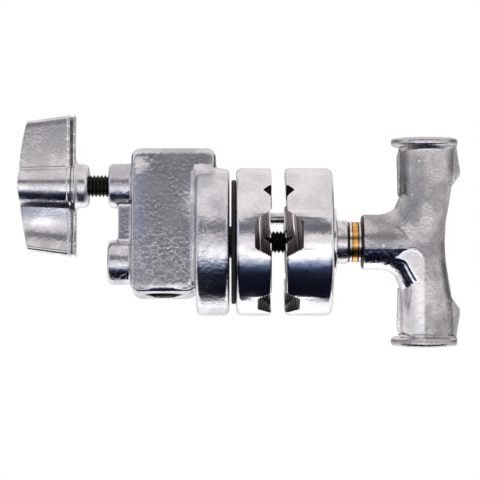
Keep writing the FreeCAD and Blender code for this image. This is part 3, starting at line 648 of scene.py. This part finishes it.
def makeBody():
    shape = mergedCopy("body_casting")
    low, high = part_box("body_casting")
    leg, face, back = bodyShape["fillet"], bodyShape["face"], bodyShape["discBack"]
    shoulder = bodyShape["shoulder"]
    for sign in (-1, 1):
        # fillets where the round disc grows out of the block's faces and out of the shoulder
        side = sign * face
        corner = [(0.6 * mm, -sign * 0.6 * mm, 0), (-leg, -sign * 0.6 * mm, 0), (0.6 * mm, sign * leg, 0)]
        addWedge(shape, corner, (back, side, low.z + 12.5 * mm), (back, side, 27.5 * mm))
        upper = [(0, -sign * 0.8 * mm, -0.8 * mm), (0, -sign * 0.8 * mm, leg * 1.2), (0, sign * leg, -leg * 0.38)]
        addWedge(shape, upper, (back - 0.4 * mm, side, shoulder), (back + 7.2 * mm, side, shoulder))
        elbow = [(-leg * 0.5, -sign * 0.6 * mm, 0), (0, -sign * 0.6 * mm, leg * 0.9),
                 (0.4 * mm, sign * leg * 0.7, 0)]
        addWedge(shape, elbow, (back, side, 26.4 * mm), (back + 0.6 * mm, side, 28.6 * mm))
    mesh = castSkin(shape, "bodyCastingSkin", bodyShape["voxel"], bodyShape["softening"])

    def fallAway(point, normal):
        # the wide faces fall away a little towards their edges, as the mould's draft leaves them
        if abs(point.y) >= 13.9 * mm:
            return 0.0
        wide = ramp(abs(point.y), 11.5 * mm, 13.2 * mm) * ramp(abs(normal.y), 0.75, 0.95)
        lengthwise = ramp(abs(point.x), 3.0 * mm, 15.0 * mm)
        if point.x > 0:
            fade = 0.8 * ramp(24.0 * mm - point.z, 0, 20 * mm)
        else:
            fade = ramp(36.0 * mm - point.z, 0, 9 * mm)
        return -bodyShape["crown"] * lengthwise * wide * fade

    displaced(mesh, fallAway)
    stoodFor(mesh, "bodyCastingSkin", "head_body", "body_casting", "castPebbled")
    # painted shade on the socket bore's inner wall
    secondFinishOrShade(mesh, lambda point: math.hypot(point.x, point.y) < bodyShape["bore"]
          and low.z + 9.0 * mm < point.z < high.z - 0.4 * mm)


makeBody()

# plain numbers are millimetres; outline is height and width of the grip along X, the same above and below
handleShape = {"lean": 9.0, "voxel": 0.45 * mm, "softening": 8, "hub": 11.95 * mm, "left": 101.9 * mm,
               "depth": 21.5 * mm, "waistDepth": 20.5 * mm, "rimX": 112.2 * mm, "webRadius": 9.0,
               "webCuts": 11, "webStep": 0.9, "buffCorner": (105.8, -8.5, 5.8),
               "outline": ((0.0, 19.2), (8.0, 19.6), (16.0, 20.9), (24.0, 22.2), (30.0, 22.7), (36.0, 22.9),
                           (40.0, 23.2), (42.0, 25.2), (43.4, 27.6)),
               "nearRib": ((100.7, 19.9), (100.2, 36.5), (101.4, 40.6), (104, 41), (104, 19.9)),
               "farRib": ((118, 41.5), (125.9, 41.8), (127.7, 30.2), (127.5, 28.8), (122.2, 21.5), (118, 20)),
               # the rolled rim from below: height, thickness, first and last radius
               "rim": ((40.9, 1.0, 13.1, 14.1), (41.8, 2.2, 14.35, 14.35), (43.9, 0.7, 14.3, 13.7),
                       (44.5, 0.45, 13.2, 11.0))}


def addGrip(shape):
    outline = [(-z, w) for z, w in reversed(handleShape["outline"][1:])] + list(handleShape["outline"])
    outlines = []
    for z, width in outline:
        share = ramp(abs(z), 0.0, 20.0)
        depth = handleShape["waistDepth"] + (handleShape["depth"] - handleShape["waistDepth"]) * share
        if abs(z) > 41:  # the rim is round
            depth = max(depth, width * mm)
        middle = handleShape["left"] + width / 2 * mm if abs(z) < 40.5 else handleShape["rimX"]
        outlines.append([(middle + x, y, z * mm) for x, y in circle(width / 2 * mm, 72, depth / 2)])
    addStock(shape, outlines)


def addPlate(shape, outline, half, turn):
    # a flat rib standing in the handle's own plane, its outline given as X and height in millimetres
    addStock(shape, [[turn @ Vector((x * mm, side, z * mm)) for x, z in outline] for side in (-half, half)],
             hollowed=True)


def addWeb(shape, upright):
    # the hub flares into the grip all round: slices of the fillet, thinner in height towards the sides
    radius, left = handleShape["webRadius"], handleShape["left"] / mm
    for cut in range(handleShape["webCuts"]):
        side = 0.5 + cut * handleShape["webStep"]
        hubHalf = math.sqrt((handleShape["hub"] / mm) ** 2 - side ** 2)
        near = left + 9.8 * (1 - math.sqrt(max(1 - (side / 10.4) ** 2, 0.0)))
        turns = [math.radians(a) for a in range(0, 91, 6)]
        arc = [(near - radius * (1 - math.sin(a)), hubHalf + radius * (1 - math.cos(a))) for a in turns]
        web = [(near - radius, 0)] + arc + [(near + 4, hubHalf + radius), (near + 4, 0)]
        for place in (-side, side):
            addPlate(shape, web, 0.55 * mm, upright @ Matrix.Translation((0, place * mm, 0)))


def fromBuffed(spot):
    # millimetres outside the buffed patch, whose upper far corner is round
    cornerX, cornerZ, corner = handleShape["buffCorner"]
    x, z = spot.x / mm - cornerX, spot.z / mm - cornerZ
    return math.hypot(max(x, 0), max(z, 0)) - corner if max(x, z) > 0 else max(x, z) - corner


def makeHandle():
    shape = bmesh.new()
    hub, start = handleShape["hub"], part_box("t_handle")[0].x
    addRound(shape, (start, 0, 0), 1.0 * mm, hub - 0.9 * mm, hub)
    addRound(shape, (start + 0.98 * mm, 0, 0), 14.0 * mm, hub, hub * 0.985)
    addRound(shape, (start + 14.9 * mm, 0, 0), 13.0 * mm, hub * 0.985, hub * 0.62)
    addGrip(shape)
    for sign in (1, -1):
        upright = Matrix.Scale(sign, 4, Vector((0, 0, 1)))
        addWeb(shape, upright)
        # parting ribs: a thin one on the near edge, a broader one that ends in a hump on the far edge
        addPlate(shape, handleShape["nearRib"], 0.85 * mm, upright)
        addPlate(shape, handleShape["farRib"], 2.3 * mm, upright)
        flat = upright @ Matrix.Rotation(math.radians(-90), 4, "Y")
        for z, thick, first, last in handleShape["rim"]:
            place = upright @ Vector((handleShape["rimX"], 0, z * mm))
            addRound(shape, place, thick * mm, first * mm, last * mm, flat)
    mesh = castSkin(shape, "tHandleCasting", handleShape["voxel"], handleShape["softening"])
    # made upright, so that the skin has no steps along the ribs, and leant over afterwards
    lean = Matrix.Rotation(math.radians(handleShape["lean"]), 4, "X")
    mesh.transform(lean)
    back = lean.inverted()

    def sculpt(point, normal):
        # the parting line on the front and back faces: a raised line round the lower, buffed side
        spot = back @ point
        beyond = fromBuffed(spot)
        line = max(0.0, 1 - abs(beyond) / 0.5) * ramp(spot.x, 100 * mm, 104 * mm)
        onFaces = ramp(abs(spot.y), 4 * mm, 6 * mm) * ramp(42 * mm - abs(spot.z), 0, 2 * mm)
        return (0.22 * line - 0.1 * ramp(-beyond, 0.2, 1.0)) * mm * onFaces

    displaced(mesh, sculpt)
    stoodFor(mesh, "tHandleCasting", "t_handle", "t_handle", "grainyCast")
    secondFinishOrShade(mesh, lambda point: fromBuffed(back @ point) < -0.3 and abs((back @ point).z) < 41.5 * mm, "polishedFace")
    # painted shade along the hub's left edge, where it meets the bearing
    secondFinishOrShade(mesh, lambda point: point.x < start + 0.75 * mm)


makeHandle()

# gripping faces are at middle plus and minus halfGap; edge is the width of the eased corners, angles in degrees
jawShape = {"edge": 0.22 * mm, "sharp": 32.0, "smooth": 28.0, "bore": 7.6 * mm, "rim": 31.2 * mm,
            "grooveFrom": 38.0 * mm, "grooveTo": 59.9 * mm, "middle": 49.05 * mm, "halfGap": 3.05 * mm,
            "lip": 0.25 * mm}


def grooveDepth(x):
    # how far a point lies inside the nearer jaw's gripping face
    fromGap = abs(x - jawShape["middle"]) - jawShape["halfGap"]
    return min(x - jawShape["grooveFrom"], jawShape["grooveTo"] - x, fromGap)


def makeJaw(node, name, body):
    shape = mergedCopy(node)
    bmesh.ops.dissolve_limit(shape, angle_limit=math.radians(0.6), verts=shape.verts, edges=shape.edges)
    source = addObject(name, meshFrom(shape, name))
    bevel = source.modifiers.new("edges", "BEVEL")
    bevel.width, bevel.segments, bevel.limit_method = jawShape["edge"], 2, "ANGLE"
    bevel.angle_limit, bevel.harden_normals = math.radians(jawShape["sharp"]), False
    mesh = baked(source, name)
    mesh.shade_smooth()
    mesh.set_sharp_from_angle(angle=math.radians(jawShape["smooth"]))
    stoodFor(mesh, name, body, node, "polishedFace")
    for face in mesh.polygons:
        face.material_index = 0
    # painted shade in the gripping grooves between the faces
    secondFinishOrShade(mesh, lambda point: jawShape["bore"] < math.hypot(point.y, point.z) < jawShape["rim"]
          and grooveDepth(point.x) > jawShape["lip"])


makeJaw("inner_jaw", "innerJawTurned", "inner_jaw")
makeJaw("outer_jaw", "outerJawTurned", "outer_jaw")
